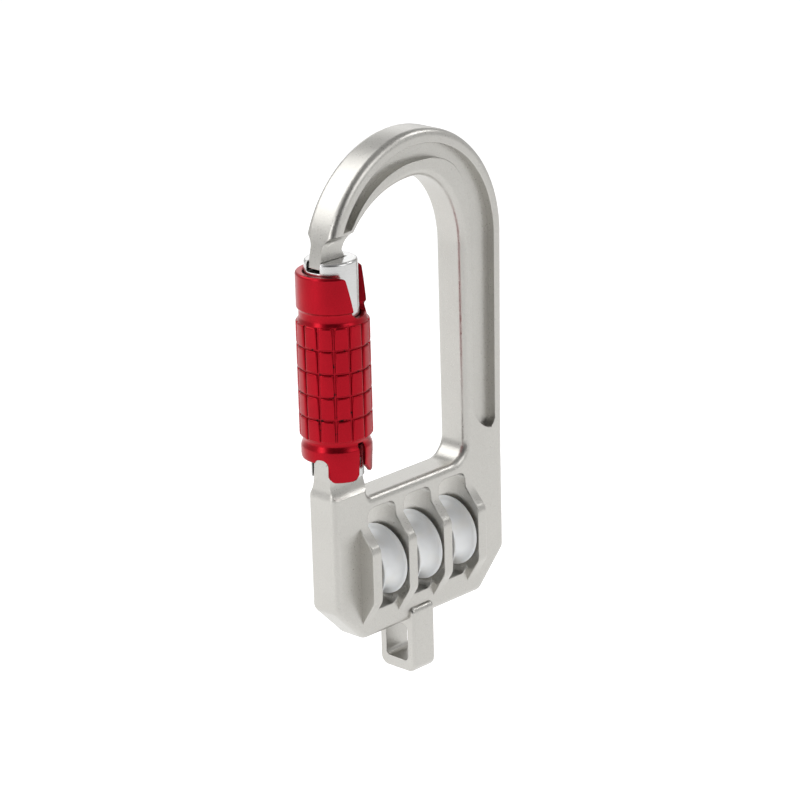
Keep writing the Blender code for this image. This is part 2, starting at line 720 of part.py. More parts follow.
def ring_profile(inner, outer, half):
    return [(inner, half), (outer, half), (outer, -half), (inner, -half)]


def along_x(thing, x):
    thing.rotation_euler = (0, pi / 2, 0)
    thing.location = (x, 0, axle_z)
    return thing


def make_sheaves():
    bore = axle_radius + pin_gap
    for i in range(sheave_count):
        x = (i - (sheave_count - 1) / 2) * rib_pitch
        sheave = along_x(turned(f"sheave_{i + 1}", sheave_profile(), 40, True), x)
        finish(sheave, "white_acetal")
        bush = along_x(turned(f"sheave_bush_{i + 1}", ring_profile(bore, bush_radius, sheave_half), 32, True), x)
        finish(bush, "bronze")
        for j, side in enumerate((-1, 1)):
            name = f"thrust_washer_{2 * i + j + 1}"
            washer = turned(name, ring_profile(bore, washer_radius, washer_thickness / 2), 24, True)
            along_x(washer, x + side * (slot_half - side_gap - washer_thickness / 2))
            finish(washer, "steel")


def make_axle():
    half = (axle_high - axle_low) / 2
    chamfer = 0.5 * mm
    axle = turned("sheave_axle", [
        (0, half), (axle_radius - chamfer, half), (axle_radius, half - chamfer),
        (axle_radius, chamfer - half), (axle_radius - chamfer, -half), (0, -half)], 32)
    finish(along_x(axle, (axle_high + axle_low) / 2), "steel")


def make_plug():
    half = plug_length / 2
    plug = turned("axle_plug", [
        (0, half), (plug_radius - 0.4 * mm, half), (plug_radius, half - 0.4 * mm), (plug_radius, -half),
        (0, -half)], 32)
    along_x(plug, (plug_high + plug_low) / 2)
    hexagon = arc((0, axle_z), plug_hex / sqrt(3), 0, 300, 5)
    cut(plug, prism("plug_socket", hexagon, plug_high - plug_hex_depth, plug_high + 2 * mm, "X"))
    finish(plug, "steel")


def main():
    make_body()
    make_axle()
    make_plug()
    make_sheaves()
    make_hinge_pin()
    hinge = hub("gate_hinge_axis", (gate_x, 0, hinge_z))
    make_gate(hinge)
    make_plunger(hinge)
    make_springs(hinge)
    make_guide_ring(hinge)
    make_guide_key(hinge)
    make_clip(hinge)
    make_sleeve(hinge)


main()
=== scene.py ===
"""Finished look of a rope pulley with a locking gate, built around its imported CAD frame.

Everything is in metres, with +Z up, +X from the gate towards the spine and -Y as the front.
"""
import json
from math import acos, asin, atan2, cos, degrees, pi, radians, sin, sqrt, tan

import bmesh
import bpy
from bpy.props import FloatProperty, FloatVectorProperty, IntProperty, PointerProperty
from bpy.types import Operator, Panel, PropertyGroup
from mathutils import Matrix, Vector


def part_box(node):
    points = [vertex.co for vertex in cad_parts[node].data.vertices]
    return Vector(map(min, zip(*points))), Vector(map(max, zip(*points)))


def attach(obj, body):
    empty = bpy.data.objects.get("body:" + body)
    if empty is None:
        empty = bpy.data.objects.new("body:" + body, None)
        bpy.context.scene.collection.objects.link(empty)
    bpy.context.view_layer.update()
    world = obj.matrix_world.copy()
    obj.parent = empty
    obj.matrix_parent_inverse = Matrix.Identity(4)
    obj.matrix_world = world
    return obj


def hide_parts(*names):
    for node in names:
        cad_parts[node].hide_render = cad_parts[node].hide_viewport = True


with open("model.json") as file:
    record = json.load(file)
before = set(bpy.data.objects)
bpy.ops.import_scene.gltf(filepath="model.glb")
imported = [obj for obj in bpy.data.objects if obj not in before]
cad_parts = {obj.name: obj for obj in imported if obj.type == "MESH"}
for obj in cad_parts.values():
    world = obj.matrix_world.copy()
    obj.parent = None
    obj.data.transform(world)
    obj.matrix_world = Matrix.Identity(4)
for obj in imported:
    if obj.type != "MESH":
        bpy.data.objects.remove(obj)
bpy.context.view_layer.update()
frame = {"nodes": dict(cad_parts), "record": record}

bl_info = {
    "name": "Rope pulley",
    "version": (1, 0, 0),
    "blender": (4, 5, 0),
    "location": "View3D > Sidebar > Rope pulley",
    "description": "Builds the finished pieces and materials of a rope pulley with a locking gate",
    "category": "Object",
}

mm = 0.001
floor_glow = 0.36    # emission of the pale floor


# Places read from the frame

BODY_LOW, BODY_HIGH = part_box("frame_body")
GATE_LOW, GATE_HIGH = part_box("gate_barrel")
SLEEVE_LOW, SLEEVE_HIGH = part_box("lock_sleeve")
PIN_LOW, PIN_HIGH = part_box("gate_hinge_pin")
AXLE_LOW, AXLE_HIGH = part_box("sheave_axle")
PLUG_LOW, PLUG_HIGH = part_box("axle_plug")
SHEAVES = [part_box(f"sheave_{i}") for i in (1, 2, 3)]

gate_radius = (GATE_HIGH.y - GATE_LOW.y) / 2
gate_x = GATE_HIGH.x - gate_radius
gate_top = GATE_HIGH.z
hinge_z = (PIN_LOW.z + PIN_HIGH.z) / 2
axle_z = (AXLE_LOW.z + AXLE_HIGH.z) / 2
sheave_radius = (SHEAVES[0][1].z - SHEAVES[0][0].z) / 2
rib_pitch = (SHEAVES[2][0].x - SHEAVES[0][0].x) / 2
left_x = BODY_LOW.x
rib_front = BODY_HIGH.y
becket_bottom = BODY_LOW.z
bow_top = BODY_HIGH.z
sleeve_rim, tongue_bottom = SLEEVE_HIGH.z, SLEEVE_LOW.z
sleeve_radius = SLEEVE_HIGH.y
plug_end = PLUG_HIGH.x

# Sizes shared by the body, the gate and the sleeve

fit_gap = 0.3 * mm
half_plate = 4.5 * mm
bow_lean = 1.0 * mm
right_x = BODY_HIGH.x - bow_lean
rib_width = 2.75 * mm
slot_half = (rib_pitch - rib_width) / 2
slot_top = axle_z + sheave_radius + 7.0 * mm
slot_bottom = axle_z - sheave_radius - 1.3 * mm
floor_z = slot_top + 2.78 * mm
bottom_z = slot_bottom - 6.58 * mm
corner_cut = 9.0 * mm
spine_x = right_x - 13.2 * mm
land_z = floor_z + 2.1 * mm
thin_z = land_z + 4.2 * mm
tang_half, tang_thickness = 5.46 * mm, 5.2 * mm
nose_depth, nose_thickness = 16.05 * mm, 3.6 * mm
nose_left = gate_x - 5.265 * mm
nose_right = nose_left + 8.0 * mm
nose_shelf = -8.5 * mm
inner_height, inner_right = 20.0 * mm, 15.5 * mm
outer_height, outer_right = 29.6 * mm, 28.6 * mm
inner_centre = Vector((spine_x - inner_right, -inner_height))
outer_centre = Vector((right_x + bow_lean - outer_right, bow_top - outer_height))
nose_end_angle = 180 - degrees(asin((-nose_depth - outer_centre[1]) / outer_height))
outer_left = (nose_left - outer_centre[0]) / cos(radians(nose_end_angle))
inner_left = inner_centre[0] - gate_x - 0.11 * mm
grid_top = sleeve_rim - 11.4 * mm
grid_bottom = tongue_bottom + 9.8 * mm
collar_bottom = tongue_bottom + 4.6 * mm
neck_top = grid_top - 0.6 * mm
gate_point = Vector((gate_x, 0, 0))


# Outlines in a plane

def arc(centre, radius, start, end, steps):
    """Points on an arc, from one angle to another, in degrees."""
    points = []
    for i in range(steps + 1):
        angle = radians(start + (end - start) * i / steps)
        points.append((centre[0] + radius * cos(angle), centre[1] + radius * sin(angle)))
    return points


def oval(centre, right, left, height, start, end, steps, power=2.0):
    """Points on an upper half oval with its own reach on each side; 0 degrees is on the right."""
    points = []
    for i in range(steps + 1):
        angle = radians(start + (end - start) * i / steps)
        reach = right if cos(angle) > 0 else left
        across = abs(cos(angle)) ** (2 / power) * (1 if cos(angle) > 0 else -1)
        points.append((centre[0] + reach * across, centre[1] + height * abs(sin(angle)) ** (2 / power)))
    return points


def rounded(corners, steps=6):
    """A line through corners (x, z, radius), each corner with a radius turned into an arc."""
    points = []
    for i, (x, z, radius) in enumerate(corners):
        here = Vector((x, z))
        if radius <= 0:
            points.append((x, z))
            continue
        before = (Vector(corners[i - 1][:2]) - here).normalized()
        after = (Vector(corners[(i + 1) % len(corners)][:2]) - here).normalized()
        half_angle = acos(max(-1, min(1, before.dot(after)))) / 2
        reach = radius / tan(half_angle)
        centre = here + (before + after).normalized() * (radius / sin(half_angle))
        first = here + before * reach - centre
        last = here + after * reach - centre
        turn = atan2(first.cross(last), first.dot(last))
        for step in range(steps + 1):
            points.append(tuple(centre + Matrix.Rotation(turn * step / steps, 2) @ first))
    return points


def rectangle(low, high, radius):
    """Corners of an upright rectangle, for rounded()."""
    return [(low[0], low[1], radius), (high[0], low[1], radius),
            (high[0], high[1], radius), (low[0], high[1], radius)]


# Shaping with bmesh

PLANES = {"X": lambda u, v, w: (w, u, v), "Y": lambda u, v, w: (u, w, v), "Z": lambda u, v, w: (u, v, w)}


def drawn_out(outline, low, high, facing):
    """A closed outline made a face, and drawn out along one axis from low to high."""
    place = PLANES[facing]
    work = bmesh.new()
    face = work.faces.new([work.verts.new(place(u, v, low)) for u, v in outline])
    drawn = bmesh.ops.extrude_face_region(work, geom=[face])
    moved = [item for item in drawn["geom"] if isinstance(item, bmesh.types.BMVert)]
    bmesh.ops.translate(work, verts=moved, vec=place(0, 0, high - low))
    bmesh.ops.recalc_face_normals(work, faces=work.faces)
    return work


def round_edges(work, edges, width, segments=3):
    bmesh.ops.bevel(work, geom=list(edges), offset=width, offset_type='OFFSET', segments=segments,
                    profile=0.5, affect='EDGES', clamp_overlap=False, material=-1)


def rims(work, facing, wanted=None):
    """Edges round the two flat ends of a drawn-out shape, where wanted(point) holds."""
    along = "XYZ".index(facing)
    return [edge for edge in work.edges
            if any(abs(face.normal[along]) > 0.9 for face in edge.link_faces)
            and (wanted is None or all(wanted(vert.co) for vert in edge.verts))]


def spun(profile, steps, closed):
    """A profile (radius, z) spun a full turn about Z."""
    work = bmesh.new()
    verts = [work.verts.new((radius, 0, z)) for radius, z in profile]
    edges = [work.edges.new(pair) for pair in zip(verts, verts[1:])]
    if closed:
        edges.append(work.edges.new((verts[-1], verts[0])))
    bmesh.ops.spin(work, geom=verts + edges, cent=(0, 0, 0), axis=(0, 0, 1), angle=2 * pi,
                   steps=steps, use_merge=True)
    bmesh.ops.remove_doubles(work, verts=work.verts, dist=0.000001)
    bmesh.ops.recalc_face_normals(work, faces=work.faces)
    return work


def placed(work, matrix):
    bmesh.ops.transform(work, matrix=matrix, verts=work.verts)
    return work


def along_x(place):
    """Stands a shape spun about Z along X, at a place."""
    return Matrix.Translation(place) @ Matrix.Rotation(pi / 2, 4, 'Y')


def along_y(place):
    return Matrix.Translation(place) @ Matrix.Rotation(-pi / 2, 4, 'X')


def block(low, high):
    work = bmesh.new()
    bmesh.ops.create_cube(work, size=1.0)
    size = [high[i] - low[i] for i in range(3)]
    centre = [(high[i] + low[i]) / 2 for i in range(3)]
    return placed(work, Matrix.Translation(centre) @ Matrix.Diagonal((*size, 1)))


def as_object(name, work):
    mesh = bpy.data.meshes.new(name)
    work.to_mesh(mesh)
    work.free()
    thing = bpy.data.objects.new(name, mesh)
    bpy.context.scene.collection.objects.link(thing)
    return thing


def carved(name, base, joined=(), cutters=()):
    """The base shape with others joined to it and cut from it, as a new bmesh."""
    target = as_object(name, base)
    tools = []
    for operation, shapes in (('UNION', joined), ('DIFFERENCE', cutters)):
        for i, shape in enumerate(shapes):
            tool = as_object(f"{name}_{operation.lower()}_{i}", shape)
            tools.append(tool)
            boolean = target.modifiers.new(tool.name, 'BOOLEAN')
            boolean.operation = operation
            boolean.solver = 'EXACT'
            boolean.object = tool
    bpy.context.view_layer.update()
    evaluated = target.evaluated_get(bpy.context.evaluated_depsgraph_get())
    mesh = bpy.data.meshes.new_from_object(evaluated)
    work = bmesh.new()
    work.from_mesh(mesh)
    bmesh.ops.remove_doubles(work, verts=work.verts, dist=0.000002)
    for thing in [target, *tools]:
        bpy.data.objects.remove(thing, do_unlink=True)
    bpy.data.meshes.remove(mesh)
    return work


def sharp_edges(work, angle, wanted=None):
    """Edges between two faces that meet at more than an angle, in degrees."""
    return [edge for edge in work.edges
            if len(edge.link_faces) == 2 and edge.calc_face_angle(0) > radians(angle)
            and (wanted is None or all(wanted(vert.co) for vert in edge.verts))]


def finished(name, work, material, body, slot, *nodes):
    """A piece with its material, riding on its body and standing for its CAD nodes."""
    for face in work.faces:
        face.smooth = True
    for edge in sharp_edges(work, 50):
        edge.smooth = False
    thing = as_object(name, work)
    thing.data.materials.append(material)
    normals = thing.modifiers.new("face_weighted_normals", 'WEIGHTED_NORMAL')
    normals.keep_sharp = True
    normals.weight = 60
    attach(thing, body)
    if nodes:
        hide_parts(*nodes)
    return thing


# Material helpers

class Tree:
    """A small hand for placing and linking nodes in one node tree."""

    def __init__(self, tree):
        self.tree = tree

    def add(self, kind, inputs=(), **settings):
        node = self.tree.nodes.new(kind)
        for key, value in settings.items():
            setattr(node, key, value)
        for key, value in dict(inputs).items():
            if isinstance(value, bpy.types.NodeSocket):
                self.tree.links.new(value, node.inputs[key])
            else:
                node.inputs[key].default_value = value
        return node

    def math(self, operation, first, second=0.0, clamp=False):
        node = self.add('ShaderNodeMath', {0: first, 1: second}, operation=operation, use_clamp=clamp)
        return node.outputs[0]

    def mapped(self, value, low, high, to_low=0.0, to_high=1.0):
        node = self.add('ShaderNodeMapRange', {"Value": value, "From Min": low, "From Max": high,
                                               "To Min": to_low, "To Max": to_high}, clamp=True)
        return node.outputs["Result"]

    def mixed(self, factor, first, second):
        node = self.tree.nodes.new('ShaderNodeMix')
        node.data_type = 'RGBA'
        sockets = {0: factor, 6: first, 7: second}
        for index, value in sockets.items():
            if isinstance(value, bpy.types.NodeSocket):
                self.tree.links.new(value, node.inputs[index])
            else:
                node.inputs[index].default_value = value
        return node.outputs[2]


def new_group(name, inputs, outputs):
    """A shader node group with named value sockets, and a Tree to fill it with."""
    group = bpy.data.node_groups.new(name, 'ShaderNodeTree')
    for title, kind, default in inputs:
        socket = group.interface.new_socket(title, in_out='INPUT', socket_type=kind)
        if default is not None:
            socket.default_value = default
    for title, kind in outputs:
        group.interface.new_socket(title, in_out='OUTPUT', socket_type=kind)
    tree = Tree(group)
    return group, tree, tree.add('NodeGroupInput'), tree.add('NodeGroupOutput')


def blasted_grain():
    """Fine bead-blasted grain: slow clouding, grain and a few dark specks."""
    name = "blasted_grain"
    if name in bpy.data.node_groups:
        return bpy.data.node_groups[name]
    group, tree, given, put = new_group(name, [
        ("Grain Size", 'NodeSocketFloat', 5000.0), ("Clouding", 'NodeSocketFloat', 0.05),
        ("Specks", 'NodeSocketFloat', 0.5)],
        [("Shade", 'NodeSocketFloat'), ("Height", 'NodeSocketFloat'), ("Speck", 'NodeSocketFloat')])
    where = tree.add('ShaderNodeTexCoord').outputs["Object"]
    grain = tree.add('ShaderNodeTexNoise', {"Vector": where, "Scale": given.outputs[0], "Detail": 3.0,
                                            "Roughness": 0.6})
    clouds = tree.add('ShaderNodeTexNoise', {"Vector": where, "Scale": 60.0, "Detail": 4.0,
                                             "Roughness": 0.55})
    drift = tree.math('MULTIPLY', tree.math('SUBTRACT', clouds.outputs["Fac"], 0.5), given.outputs[1])
    shade = tree.math('ADD', drift, 1.0)
    fine = tree.mapped(grain.outputs["Fac"], 0.3, 0.7, 0.94, 1.06)
    cells = tree.add('ShaderNodeTexVoronoi', {"Vector": where, "Scale": 420.0, "Randomness": 1.0})
    rare = tree.add('ShaderNodeTexNoise', {"Vector": where, "Scale": 95.0, "Detail": 1.0})
    dot = tree.mapped(cells.outputs["Distance"], 0.10, 0.05, 0.0, 1.0)
    chosen = tree.mapped(rare.outputs["Fac"], 0.66, 0.69, 0.0, 1.0)
    speck = tree.math('MULTIPLY', tree.math('MULTIPLY', dot, chosen), given.outputs[2], clamp=True)
    tree.tree.links.new(tree.math('MULTIPLY', shade, fine), put.inputs[0])
    tree.tree.links.new(grain.outputs["Fac"], put.inputs[1])
    tree.tree.links.new(speck, put.inputs[2])
    return group


def start_material(name, colour, metallic, roughness):
    material = bpy.data.materials.new(name)
    material.use_nodes = True
    tree = Tree(material.node_tree)
    shader = material.node_tree.nodes["Principled BSDF"]
    shader.inputs["Base Color"].default_value = (*colour, 1)
    shader.inputs["Metallic"].default_value = metallic
    shader.inputs["Roughness"].default_value = roughness
    return material, tree, shader


def grained(tree, grain_size, clouding, specks):
    group = tree.add('ShaderNodeGroup', node_tree=blasted_grain())
    group.inputs["Grain Size"].default_value = grain_size
    group.inputs["Clouding"].default_value = clouding
    group.inputs["Specks"].default_value = specks
    return group


def satin_alloy(name, colour, roughness, grain=0.35, specks=0.6, grain_size=2600.0):
    """Bead-blasted, clear anodised aluminium."""
    material, tree, shader = start_material(name, colour, 1.0, roughness)
    group = grained(tree, grain_size, 0.10, specks)
    grey = group.outputs[0]
    shade = tree.add('ShaderNodeCombineColor', {0: grey, 1: grey, 2: grey})
    tint = tree.add('ShaderNodeMix', data_type='RGBA', blend_type='MULTIPLY')
    tint.inputs[0].default_value = 1.0
    tint.inputs[6].default_value = (*colour, 1)
    tree.tree.links.new(shade.outputs[0], tint.inputs[7])
    dark = tree.mixed(group.outputs[2], tint.outputs[2], (0.16, 0.13, 0.10, 1))
    tree.tree.links.new(dark, shader.inputs["Base Color"])
    rough = tree.mapped(group.outputs[1], 0.3, 0.7, roughness - 0.07, roughness + 0.08)
    tree.tree.links.new(rough, shader.inputs["Roughness"])
    bump = tree.add('ShaderNodeBump', {"Strength": grain, "Distance": 0.0001, "Height": group.outputs[1]})
    tree.tree.links.new(bump.outputs[0], shader.inputs["Normal"])
    return material


def turned_metal(name, colour, roughness, ring_size=9000.0, strength=0.04, axis="Z"):
    """Metal with fine turning marks round one axis."""
    material, tree, shader = start_material(name, colour, 1.0, roughness)
    where = tree.add('ShaderNodeTexCoord').outputs["Object"]
    parts = tree.add('ShaderNodeSeparateXYZ', {0: where})
    rings = tree.add('ShaderNodeTexNoise', {"W": parts.outputs[axis], "Scale": ring_size, "Detail": 2.0},
                     noise_dimensions='1D')
    stain = tree.add('ShaderNodeTexNoise', {"Vector": where, "Scale": 180.0, "Detail": 3.0})
    rough = tree.mapped(rings.outputs["Fac"], 0.3, 0.7, roughness - 0.04, roughness + 0.06)
    tree.tree.links.new(rough, shader.inputs["Roughness"])
    shade = tree.mapped(stain.outputs["Fac"], 0.3, 0.7, 0.0, 1.0)
    low = tuple(0.93 * part for part in colour)
    tree.tree.links.new(tree.mixed(shade, (*low, 1), (*colour, 1)), shader.inputs["Base Color"])
    bump = tree.add('ShaderNodeBump', {"Strength": strength, "Distance": 0.0001,
                                       "Height": rings.outputs["Fac"]})
    tree.tree.links.new(bump.outputs[0], shader.inputs["Normal"])
    return material


def red_anodised(settings):
    """Red anodised aluminium with painted shade in the grooves between the knurled pads, and dark dirt
    caught in patches there.
    """
    material, tree, shader = start_material("red_anodised_alloy", settings.colour, 1.0, settings.roughness)
    shader.inputs["Coat Weight"].default_value = 0.12
    shader.inputs["Coat Roughness"].default_value = 0.22
    where = tree.add('ShaderNodeTexCoord').outputs["Object"]
    centred = tree.add('ShaderNodeMapping', {"Vector": where, "Location": (-gate_x, 0, 0)})
    parts = tree.add('ShaderNodeSeparateXYZ', {0: centred.outputs[0]})
    flat = tree.add('ShaderNodeCombineXYZ', {0: parts.outputs["X"], 1: parts.outputs["Y"]})
    radius = tree.add('ShaderNodeVectorMath', {0: flat.outputs[0]}, operation='LENGTH').outputs["Value"]
    deep = tree.mapped(radius, sleeve_radius - 0.12 * mm, sleeve_radius - 0.34 * mm)
    above = tree.mapped(parts.outputs["Z"], grid_top - 0.25 * mm, grid_top - 0.35 * mm)
    below = tree.mapped(parts.outputs["Z"], grid_bottom + 0.25 * mm, grid_bottom + 0.35 * mm)
    groove = tree.math('MULTIPLY', tree.math('MULTIPLY', deep, above), below)
    patches = tree.add('ShaderNodeTexNoise', {"Vector": where, "Scale": 330.0, "Detail": 4.0,
                                              "Roughness": 0.7})
    dirt = tree.math('MULTIPLY', groove, tree.mapped(patches.outputs["Fac"], 0.57, 0.62))
    cloud = tree.add('ShaderNodeTexNoise', {"Vector": where, "Scale": 120.0, "Detail": 3.0})
    shade = tree.mapped(cloud.outputs["Fac"], 0.3, 0.7)
    low = tuple(0.86 * part for part in settings.colour)
    plain = tree.mixed(shade, (*low, 1), (*settings.colour, 1))
    # Painted shade: every groove between the pads is darkened evenly towards a deep red; the dirt patches
    # below are mixed over it.
    shadowed = tree.mixed(tree.math('MULTIPLY', groove, 0.2), plain, (0.11, 0.0, 0.006, 1))
    tree.tree.links.new(tree.mixed(dirt, shadowed, (0.012, 0.004, 0.004, 1)), shader.inputs["Base Color"])
    fine = tree.add('ShaderNodeTexNoise', {"Vector": where, "Scale": 4200.0, "Detail": 2.0})
    bump = tree.add('ShaderNodeBump', {"Strength": 0.05, "Distance": 0.0001, "Height": fine.outputs["Fac"]})
    tree.tree.links.new(bump.outputs[0], shader.inputs["Normal"])
    rough = tree.mapped(fine.outputs["Fac"], 0.3, 0.7, settings.roughness - 0.03, settings.roughness + 0.05)
    tree.tree.links.new(rough, shader.inputs["Roughness"])
    return material


def turned_acetal(settings):
    """White acetal, turned, slightly see-through at its edges."""
    material, tree, shader = start_material("white_acetal", settings.colour, 0.0, settings.roughness)
    shader.inputs["Subsurface Weight"].default_value = 0.25
    shader.inputs["Subsurface Radius"].default_value = (0.0012, 0.0011, 0.0010)
    shader.inputs["Subsurface Scale"].default_value = 1.0
    where = tree.add('ShaderNodeTexCoord').outputs["Object"]
    parts = tree.add('ShaderNodeSeparateXYZ', {0: where})
    rings = tree.add('ShaderNodeTexNoise', {"W": parts.outputs["X"], "Scale": 5200.0, "Detail": 2.0},
                     noise_dimensions='1D')
    soil = tree.add('ShaderNodeTexNoise', {"Vector": where, "Scale": 240.0, "Detail": 3.0})
    shade = tree.mapped(soil.outputs["Fac"], 0.45, 0.75)
    warm = tuple(a * b for a, b in zip(settings.colour, (0.97, 0.95, 0.91)))
    tree.tree.links.new(tree.mixed(shade, (*settings.colour, 1), (*warm, 1)), shader.inputs["Base Color"])
    rough = tree.mapped(rings.outputs["Fac"], 0.3, 0.7, settings.roughness - 0.04, settings.roughness + 0.08)
    tree.tree.links.new(rough, shader.inputs["Roughness"])
    bump = tree.add('ShaderNodeBump', {"Strength": 0.05, "Distance": 0.0001,
                                       "Height": rings.outputs["Fac"]})
    tree.tree.links.new(bump.outputs[0], shader.inputs["Normal"])
    return material


# Body

def tang_top():
    """The tang's rounded head about the hinge, a cam under the gate's plunger."""
    points = []
    for angle in range(80, -91, -5):
        turned_by = max(0, min(radians(angle), radians(36)))
        radius = 5.0 * mm + 1.1 * mm * turned_by
        points.append((gate_x + radius * sin(radians(angle)), hinge_z + radius * cos(radians(angle))))
    return [point for point in points if abs(point[0] - gate_x) < tang_half]


def body_outline():
    throat = oval(inner_centre, inner_right, inner_left, inner_height, 0, 158, 60)
    foot = rounded([
        (left_x, land_z - 0.6 * mm, 0), (left_x, bottom_z + corner_cut, 2.5 * mm),
        (left_x + corner_cut, bottom_z, 2.5 * mm), (right_x - corner_cut, bottom_z, 2.5 * mm),
        (right_x, bottom_z + corner_cut, 2.5 * mm), (right_x, floor_z, 0)])
    nose = rounded([(nose_right, -nose_depth, 0), (nose_right, throat[-1][1] - 2 * mm, 1.2 * mm),
                    (*throat[-1], 0)])
    opening = rounded([(spine_x, -inner_height, 0), (spine_x, floor_z, 5 * mm),
                       (gate_x + tang_half, floor_z, 1.5 * mm), (gate_x + tang_half, thin_z, 0),
                       (gate_x + tang_half, hinge_z, 0)], 10)
    step = gate_x - tang_half - left_x
    shelf = [(gate_x - tang_half + 0.2 * mm, thin_z)]
    shelf += [(left_x + step * (1 + cos(pi * i / 6)) / 2, land_z + (2.4 - 0.5 * i) * mm) for i in range(6)]
    outer = oval(outer_centre, outer_right, outer_left, outer_height, 0, nose_end_angle, 80)
    return foot + outer + nose + throat[::-1][1:-1] + opening + tang_top() + shelf


def groove_outline():
    """The groove's floor, between the two rails from the nose round the bow and down the spine."""
    outer_rail, inner_rail, crown_rail = 3.1 * mm, 2.9 * mm, 3.7 * mm
    reach, rise = inner_left + 0.9 * mm, inner_height + crown_rail
    outer = oval(outer_centre, outer_right - outer_rail, outer_left - outer_rail,
                 outer_height - outer_rail - 0.3 * mm, 0, 156, 64)
    inner = oval(inner_centre, inner_right + inner_rail, reach, rise, 0, 90, 32, 3.0)
    inner += oval(inner_centre, inner_right + inner_rail, reach, rise, 90, 149, 24)[1:]
    inside, outside = spine_x + inner_rail, right_x - outer_rail + 0.3 * mm
    end_top, tip = floor_z + 13.8 * mm, floor_z + 5.8 * mm
    end = oval((outside, end_top), outside - inside, outside - inside, tip - end_top, 100, 180, 10)
    return [(outside, tip + 2 * mm)] + outer + inner[::-1] + end[::-1]


def side_scoop(wall, radius, start, end, span, side):
    """Thins the plate to a wall from one face, and ends in a hollow round."""
    up = 1 if start > end else -1
    centre = (wall + radius, end + up * sqrt(radius ** 2 - (wall + radius - half_plate) ** 2))
    quarter = arc(centre, radius, 180, 180 + up * 90, 14)
    outline = quarter + [(rib_front, quarter[-1][1]), (rib_front, start), (wall, start)]
    return drawn_out([(side * y, z) for y, z in outline], span[0], span[1], "X")


def rib(x, settings):
    trim = rib_width / 2 + 0.04 * mm
    half = rounded([
        (half_plate - 1 * mm, axle_z - 13.6 * mm, 0), (half_plate, axle_z - 12.6 * mm, 0),
        (rib_front, axle_z - 6.2 * mm, 3 * mm), (rib_front, axle_z + 6.7 * mm, 3 * mm),
        (half_plate, axle_z + 11.7 * mm, 0), (half_plate - 1 * mm, axle_z + 12.7 * mm, 0)], 8)
    work = drawn_out(half + [(-y, z) for y, z in reversed(half)], x - trim, x + trim, "X")
    round_edges(work, rims(work, "X"), settings.rib_edge, 3)
    return work


def becket(settings):
    top = bottom_z + 3.4 * mm
    outline = rounded([(-5.6 * mm, becket_bottom, 2.4 * mm), (5.6 * mm, becket_bottom, 2.4 * mm),
                       (5.6 * mm, top, 1.5 * mm), (-5.6 * mm, top, 1.5 * mm)], 8)
    solid = drawn_out(outline, -3.8 * mm, 3.8 * mm, "X")
    round_edges(solid, rims(solid, "X"), settings.becket_edge, 4)
    low = becket_bottom + 2.8 * mm
    eye = drawn_out(rounded(rectangle((-3.5 * mm, low), (3.5 * mm, low + 9.3 * mm), 1.5 * mm), 8),
                    -7 * mm, 7 * mm, "X")
    work = carved("becket", solid, (), (eye,))
    round_edges(work, sharp_edges(work, 70, lambda point: abs(point.x) > 3.7 * mm), settings.eye_edge, 3)
    return work


def rope_slot(x):
    outline = rounded(rectangle((x - slot_half, slot_bottom), (x + slot_half, slot_top), 2.2 * mm), 8)
    return drawn_out(outline, -rib_front - 2 * mm, rib_front + 2 * mm, "Y")


def axle_bore():
    beyond, seat = right_x + 5 * mm, PLUG_LOW.x - fit_gap
    narrow, wide = (AXLE_HIGH.y - AXLE_LOW.y) / 2 + 0.25 * mm, (PLUG_HIGH.y - PLUG_LOW.y) / 2 + 0.25 * mm
    far_end = AXLE_LOW.x - fit_gap
    profile = [(0, beyond), (wide, beyond), (wide, seat), (narrow, seat), (narrow, far_end), (0, far_end)]
    return placed(spun(profile, 64, False), along_x((0, 0, axle_z)))


def rod(radius, low, high, matrix, steps=48):
    return placed(spun([(0, high), (radius, high), (radius, low), (0, low)], steps, False), matrix)


def body_shape(settings):
    """The plate is shaped first, and its slots and grooves are rounded before the ribs go on."""
    plate = drawn_out(body_outline(), -half_plate, half_plate, "Y")

    def away_from_gate(point):
        return not (point.x < gate_x + tang_half + 0.1 * mm
                    and thin_z + 0.1 * mm < point.z < nose_shelf - 3 * mm)

    round_edges(plate, rims(plate, "Y", away_from_gate), settings.edge_round, 6)
    plate = carved("slots", plate, (), [rope_slot((i - 1) * rib_pitch) for i in range(3)])

    def on_face(point):
        return abs(abs(point.y) - half_plate) < 0.01 * mm

    def by_slots(point):
        return on_face(point) and point.z < slot_top + 0.1 * mm and abs(point.x) < 1.5 * rib_pitch

    round_edges(plate, sharp_edges(plate, 70, by_slots), settings.slot_edge, 3)
    grooves = []
    for side in (-1, 1):
        near, far = side * (half_plate - settings.groove_depth), side * (half_plate + 3 * mm)
        grooves.append(drawn_out(groove_outline(), min(near, far), max(near, far), "Y"))
    plate = carved("grooves", plate, (), grooves)
    round_edges(plate, sharp_edges(plate, 70, lambda point: on_face(point) and point.z > floor_z),
                settings.groove_edge, 3)
    ribs = [rib((i - 1.5) * rib_pitch, settings) for i in range(4)]
    plate = carved("ribs", plate, ribs + [becket(settings)])
    hinge_span = (left_x - 3 * mm, spine_x - 5 * mm)
    nose_span = (left_x - 3 * mm, nose_right + 3 * mm)
    cutters = [axle_bore(), rod(1.75 * mm, -rib_front, rib_front, along_y((gate_x, 0, hinge_z)))]
    for side in (-1, 1):
        cutters.append(side_scoop(tang_thickness / 2, 5.2 * mm, hinge_z + 9 * mm, land_z - 0.15 * mm,
                                  hinge_span, side))
        cutters.append(side_scoop(nose_thickness / 2, 3 * mm, -nose_depth - 3 * mm, nose_shelf,
                                  nose_span, side))
    plate = carved("scoops", plate, (), cutters)
    ledge = land_z - 0.15 * mm
    round_edges(plate, sharp_edges(plate, 30, lambda point: on_face(point)
                                   and abs(point.z - ledge) < 0.02 * mm), settings.ledge_edge, 3)
    return plate


# Gate

